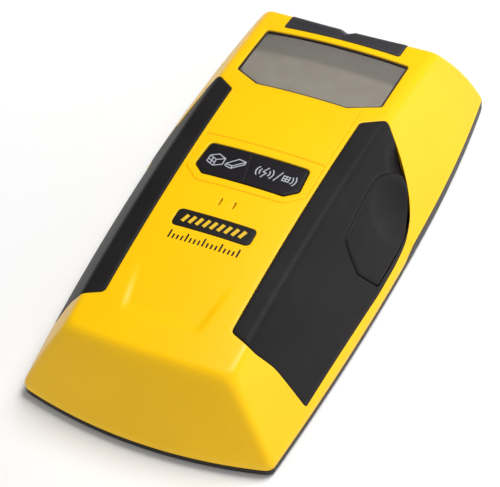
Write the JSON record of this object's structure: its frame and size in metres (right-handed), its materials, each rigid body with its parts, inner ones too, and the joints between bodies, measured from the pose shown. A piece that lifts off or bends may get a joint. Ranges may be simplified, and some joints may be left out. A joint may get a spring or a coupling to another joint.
{
  "type": "stud finder",
  "caption": "Hand-held wall stud detector: domed sloping casing on a flat sole, display window, two mode keys, side scan key, rubber grips and hinged battery door.",
  "frame": {"origin": "centre of the sole, on the plane that slides on the wall", "axes": "+Z away from the wall, +Y along the body towards the display and marking notch, +X towards the scan key"},
  "size_m": [0.0832, 0.155, 0.0315],
  "materials": {
    "casing_yellow": "satin moulded ABS, warm yellow",
    "casing_dark": "fine-grained moulded ABS, near black",
    "grip_rubber": "soft matt thermoplastic rubber",
    "insert_dark": "matt dark grey moulding",
    "key_black": "satin black key caps with light printed pictograms",
    "lens_clear": "clear polycarbonate window",
    "display_grey": "unlit grey liquid crystal panel",
    "inner_black": "plain black moulding",
    "white_plastic": "white switch plunger",
    "board_green": "solder-masked glass fibre board",
    "copper": "bare copper",
    "component_mix": "small moulded components",
    "steel": "bright zinc-plated steel",
    "battery_case": "painted metal battery jacket",
    "pad_white": "smooth low-friction glide strip",
    "foam": "black closed-cell foam",
    "lead_red": "red insulated lead",
    "lead_black": "black insulated lead"
  },
  "bodies": {
    "casing": {"top_casing": "casing_yellow", "base_casing": "casing_dark", "glide_pads": "pad_white", "left_grip": "grip_rubber", "right_grip": "grip_rubber", "end_insert": "insert_dark", "badge_plate": "inner_black", "lcd_lens": "lens_clear", "lcd_frame": "inner_black", "lcd_panel": "display_grey", "zebra_strips": "inner_black", "key_switches": "inner_black", "side_key_spring": "steel", "side_switch": "inner_black", "side_board": "board_green", "main_board": "board_green", "processor": "inner_black", "board_components": "component_mix", "buzzer": "inner_black", "sensor_board": "board_green", "sensor_plates": "copper", "sensing_coil": "copper", "board_header": "inner_black", "battery": "battery_case", "battery_terminals": "steel", "battery_snap": "inner_black", "red_lead": "lead_red", "black_lead": "lead_black", "battery_pad": "foam", "casing_screws": "steel", "board_screws": "steel"},
    "scan_key": {"side_key": "grip_rubber", "side_key_plunger": "white_plastic"},
    "stud_key_body": {"stud_key": "key_black", "stud_key_plunger": "white_plastic"},
    "mode_key_body": {"mode_key": "key_black", "mode_key_plunger": "white_plastic"},
    "door": {"battery_door": "casing_dark"}
  },
  "joints": [
    {"name": "scan_key_press", "type": "slide", "parent": "casing", "child": "scan_key", "axis": [-0.8499, 0, -0.527], "range_m": [0, 0.0012], "stiffness_N_per_m": 900, "springref_m": -0.0006, "deforming": ["side_key_spring"]},
    {"name": "stud_key_press", "type": "slide", "parent": "casing", "child": "stud_key_body", "axis": [0, 0, -1], "range_m": [0, 0.0007], "stiffness_N_per_m": 1500, "springref_m": -0.0003},
    {"name": "mode_key_press", "type": "slide", "parent": "casing", "child": "mode_key_body", "axis": [0, 0, -1], "range_m": [0, 0.0007], "stiffness_N_per_m": 1500, "springref_m": -0.0003},
    {"name": "door_hinge", "type": "hinge", "parent": "casing", "child": "door", "pos_m": [0, -0.065, 0.0018], "axis": [-1, 0, 0], "range_deg": [0, 95]}
  ]
}
